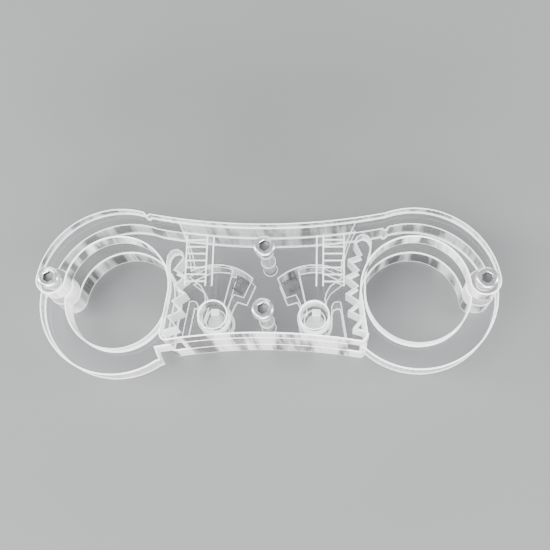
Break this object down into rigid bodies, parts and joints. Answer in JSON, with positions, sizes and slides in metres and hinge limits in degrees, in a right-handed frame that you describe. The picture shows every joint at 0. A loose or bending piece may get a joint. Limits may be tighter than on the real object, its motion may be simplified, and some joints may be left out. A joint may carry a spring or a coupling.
{
  "type": "practice handcuffs",
  "caption": "See-through rigid handcuffs for lock practice: layered clear plates with round keyholes, toothed bows on screw pivots, sprung pawls.",
  "frame": {"origin": "on the back plate's underside, midway between the two bow pivots and on the line through them", "axes": "+X towards the right-hand pivot with the keyholes facing the viewer, +Y towards the arms' side, +Z out of the front plate, the side the key enters"},
  "size_m": [0.2156, 0.0777, 0.0423],
  "materials": {
    "acrylic_back": "clear cut acrylic sheet: polished faces, frosted white laser-cut edges, the back plate",
    "acrylic_front": "clear cut acrylic sheet: polished faces, frosted white laser-cut edges, the front plate with its engraved ornament",
    "acrylic_core": "clear cut acrylic sheet: polished faces, frosted white laser-cut edges, the middle layer",
    "acrylic_bow": "clear cut acrylic sheet: polished faces, frosted white laser-cut edges, the toothed bows",
    "acrylic_pawl": "clear cut acrylic sheet: polished faces, frosted white laser-cut edges, the pawls",
    "acrylic_post": "white frosted acrylic, the key posts",
    "plated_steel": "bright zinc-plated steel, low socket-head screws",
    "spring_wire": "drawn spring wire, bright",
    "nylon_washer": "natural nylon"
  },
  "bodies": {
    "case": {"back_plate": "acrylic_back", "front_plate": "acrylic_front", "lock_core": "acrylic_core", "upper_clamp_screw": "plated_steel", "lower_clamp_screw": "plated_steel", "left_pawl_spring": "spring_wire", "left_key_post": "acrylic_post", "left_pivot_screw": "plated_steel", "left_lower_pivot_washer": "nylon_washer", "left_upper_pivot_washer": "nylon_washer", "right_pawl_spring": "spring_wire", "right_key_post": "acrylic_post", "right_pivot_screw": "plated_steel", "right_lower_pivot_washer": "nylon_washer", "right_upper_pivot_washer": "nylon_washer"},
    "left_bow": {"left_bow": "acrylic_bow"},
    "left_pawl": {"left_pawl": "acrylic_pawl"},
    "right_bow": {"right_bow": "acrylic_bow"},
    "right_pawl": {"right_pawl": "acrylic_pawl"}
  },
  "joints": [
    {"name": "left_bow_swing", "type": "hinge", "parent": "case", "child": "left_bow", "pos_m": [-0.1, 0, 0.021], "axis": [0, 0, 1], "continuous": true},
    {"name": "right_bow_swing", "type": "hinge", "parent": "case", "child": "right_bow", "pos_m": [0.1, 0, 0.021], "axis": [0, 0, 1], "continuous": true},
    {"name": "left_pawl_lift", "type": "hinge", "parent": "case", "child": "left_pawl", "pos_m": [-0.0231, -0.0167, 0.021], "axis": [0, 0, 1], "range_deg": [-3, 16], "stiffness_Nm_per_rad": 0.02, "springref_deg": 24, "deforming": ["left_pawl_spring"]},
    {"name": "right_pawl_lift", "type": "hinge", "parent": "case", "child": "right_pawl", "pos_m": [0.0231, -0.0167, 0.021], "axis": [0, 0, 1], "range_deg": [-16, 3], "stiffness_Nm_per_rad": 0.02, "springref_deg": -24, "deforming": ["right_pawl_spring"]}
  ]
}
